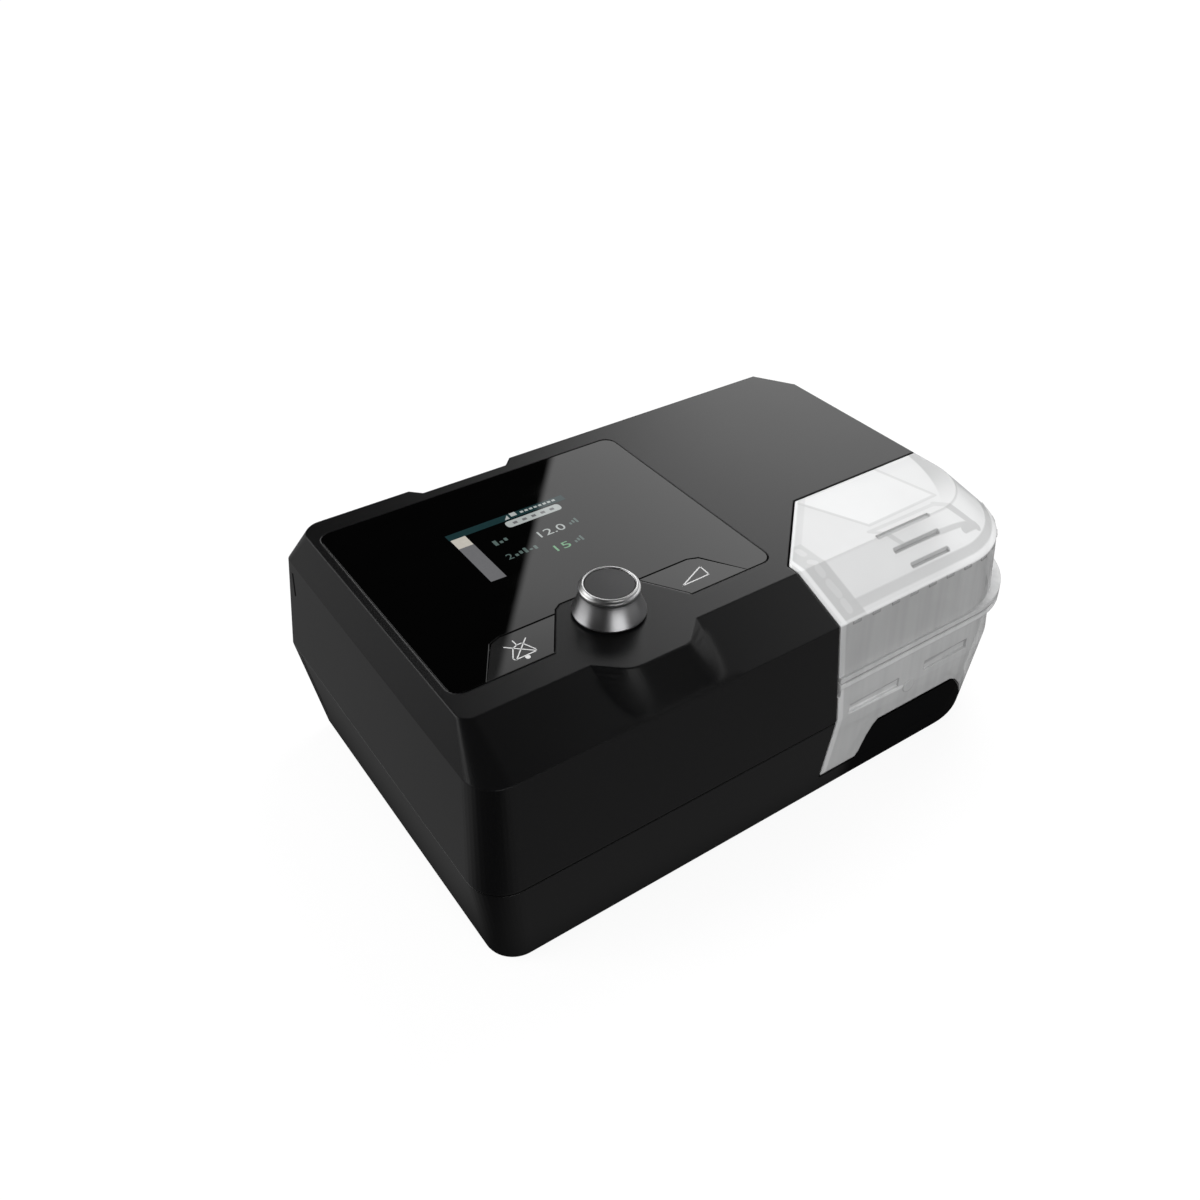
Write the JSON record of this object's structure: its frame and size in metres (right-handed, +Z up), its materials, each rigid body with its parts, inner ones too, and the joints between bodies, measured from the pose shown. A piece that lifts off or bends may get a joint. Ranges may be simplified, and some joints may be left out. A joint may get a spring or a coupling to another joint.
{
  "type": "cpap machine",
  "caption": "Black bedside CPAP machine with a glass screen, turn-and-press knob, two glass keys and a clear pull-out water tank at its front right corner.",
  "frame": {"origin": "middle of the footprint, on the table", "axes": "+X to the right along the front, +Y to the back, +Z up"},
  "size_m": [0.2666, 0.1632, 0.1122],
  "materials": {
    "case_plastic": "fine satin texture",
    "black_glass": "polished, black behind",
    "knob_metal": "turned and brushed",
    "clear_plastic": "clear, slightly frosted",
    "dark_plastic": "satin",
    "pale_plastic": "moulded",
    "board": "lacquered",
    "steel": "bright",
    "motor_metal": "satin black",
    "plate_metal": "fine brushed",
    "rubber": "matt",
    "filter_fibre": "open fibre"
  },
  "bodies": {
    "housing": {"upper_shell": "case_plastic", "base_shell": "case_plastic", "screen_glass": "black_glass", "display_module": "dark_plastic", "main_board": "board", "control_board": "board", "knob_collar": "dark_plastic", "encoder_body": "dark_plastic", "left_switch": "steel", "right_switch": "steel", "card_socket": "dark_plastic", "power_inlet": "dark_plastic", "outlet_port": "dark_plastic", "blower_volute": "pale_plastic", "volute_cover": "pale_plastic", "blower_motor": "motor_metal", "motor_mounts": "rubber", "inlet_filter": "filter_fibre", "acoustic_foam": "filter_fibre", "supply_duct": "dark_plastic", "return_duct": "dark_plastic", "dock_seals": "rubber", "heater_pad": "rubber", "heater_plate": "plate_metal", "rubber_feet": "rubber", "case_screws": "steel"},
    "knob_press": {"encoder_plunger": "dark_plastic"},
    "knob_turn": {"knob_skirt": "knob_metal", "knob_disc": "knob_metal", "knob_shaft": "steel"},
    "left_key": {"left_button": "black_glass", "left_carrier": "dark_plastic"},
    "right_key": {"right_button": "black_glass", "right_carrier": "dark_plastic"},
    "rotor": {"impeller": "pale_plastic", "rotor_shaft": "steel"},
    "cover": {"filter_cover": "case_plastic"},
    "card": {"memory_card": "dark_plastic"},
    "tank": {"tank_tub": "clear_plastic", "tank_plate": "plate_metal", "tank_seal": "rubber"},
    "lid": {"tank_lid": "clear_plastic"}
  },
  "joints": [
    {"name": "knob_push", "type": "slide", "parent": "housing", "child": "knob_press", "axis": [0, 0, -1], "range_m": [0, 0.0006], "stiffness_N_per_m": 4000, "springref_m": -0.0004},
    {"name": "knob_rotate", "type": "hinge", "parent": "knob_press", "child": "knob_turn", "pos_m": [-0.0577, -0.04039, 0.105], "axis": [0, 0, 1], "continuous": true},
    {"name": "left_key_push", "type": "slide", "parent": "housing", "child": "left_key", "axis": [0, 0, -1], "range_m": [0, 0.0006], "stiffness_N_per_m": 1500, "springref_m": -0.0003},
    {"name": "right_key_push", "type": "slide", "parent": "housing", "child": "right_key", "axis": [0, 0, -1], "range_m": [0, 0.0006], "stiffness_N_per_m": 1500, "springref_m": -0.0003},
    {"name": "rotor_spin", "type": "hinge", "parent": "housing", "child": "rotor", "pos_m": [-0.0557, 0.02331, 0.05], "axis": [0, 0, 1], "continuous": true},
    {"name": "cover_slide", "type": "slide", "parent": "housing", "child": "cover", "axis": [-1, 0, 0], "range_m": [0, 0.062]},
    {"name": "card_slide", "type": "slide", "parent": "housing", "child": "card", "axis": [-1, 0, 0], "range_m": [0, 0.016]},
    {"name": "tank_slide", "type": "slide", "parent": "housing", "child": "tank", "axis": [0, -1, 0], "range_m": [0, 0.11]},
    {"name": "lid_lift", "type": "slide", "parent": "tank", "child": "lid", "axis": [0, 0, 1], "range_m": [0, 0.045]}
  ]
}
